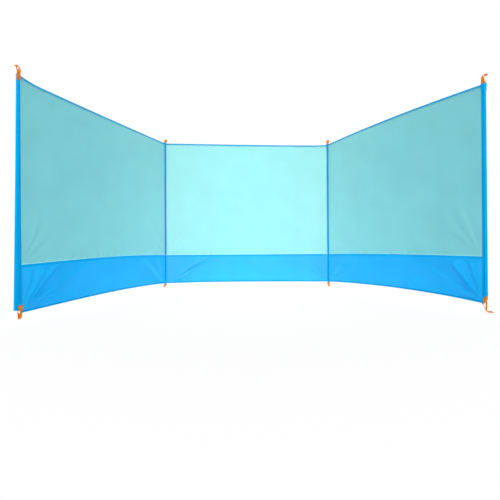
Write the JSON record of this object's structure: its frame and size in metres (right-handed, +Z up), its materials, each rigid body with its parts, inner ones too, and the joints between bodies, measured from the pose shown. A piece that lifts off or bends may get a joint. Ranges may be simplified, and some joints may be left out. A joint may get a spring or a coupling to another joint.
{
  "type": "beach windbreak",
  "caption": "Upright cloth windbreak of equal bays between poles in sewn sleeves, its end bays swinging on the middle poles, with webbing loops for guys and pegs.",
  "frame": {"origin": "centre of the left middle pole's flat foot", "axes": "+X along the middle bay from the left middle pole to the right one, +Z up the poles, -Y the sheltered side that both wings swing towards"},
  "size_m": [1.8582, 1.0102, 0.994],
  "materials": {
    "sheer_cloth": "sheer pale aqua woven polyester",
    "skirt_cloth": "bright blue woven polyester, slightly translucent",
    "edge_cloth": "blue woven polyester, folded and stitched",
    "sleeve_cloth": "blue woven polyester, doubled and stitched",
    "pole_steel": "powder coated steel tube",
    "cap_plastic": "moulded black plastic",
    "webbing": "flat orange woven webbing"
  },
  "bodies": {
    "root": {"middle_bay_upper_panel": "sheer_cloth", "middle_bay_skirt": "skirt_cloth", "middle_bay_top_binding": "edge_cloth", "middle_bay_bottom_hem": "edge_cloth", "left_middle_pole": "pole_steel", "left_middle_foot": "cap_plastic", "left_middle_top_cap": "cap_plastic", "left_middle_sleeve": "sleeve_cloth", "left_middle_top_loop": "webbing", "left_middle_bottom_loop": "webbing", "right_middle_pole": "pole_steel", "right_middle_foot": "cap_plastic", "right_middle_top_cap": "cap_plastic", "right_middle_sleeve": "sleeve_cloth", "right_middle_top_loop": "webbing", "right_middle_bottom_loop": "webbing"},
    "left_wing": {"left_wing_upper_panel": "sheer_cloth", "left_wing_skirt": "skirt_cloth", "left_wing_top_binding": "edge_cloth", "left_wing_bottom_hem": "edge_cloth", "left_end_pole": "pole_steel", "left_end_foot": "cap_plastic", "left_end_top_cap": "cap_plastic", "left_end_sleeve": "sleeve_cloth", "left_end_top_loop": "webbing", "left_end_bottom_loop": "webbing"},
    "right_wing": {"right_wing_upper_panel": "sheer_cloth", "right_wing_skirt": "skirt_cloth", "right_wing_top_binding": "edge_cloth", "right_wing_bottom_hem": "edge_cloth", "right_end_pole": "pole_steel", "right_end_foot": "cap_plastic", "right_end_top_cap": "cap_plastic", "right_end_sleeve": "sleeve_cloth", "right_end_top_loop": "webbing", "right_end_bottom_loop": "webbing"}
  },
  "joints": [
    {"name": "left_wing_swing", "type": "hinge", "parent": "root", "child": "left_wing", "pos_m": [0, 0, 0], "axis": [0, 0, 1], "range_deg": [-153.5, 91.5]},
    {"name": "right_wing_swing", "type": "hinge", "parent": "root", "child": "right_wing", "pos_m": [1.06, 0, 0], "axis": [0, 0, 1], "range_deg": [-16.5, 228.5]}
  ]
}
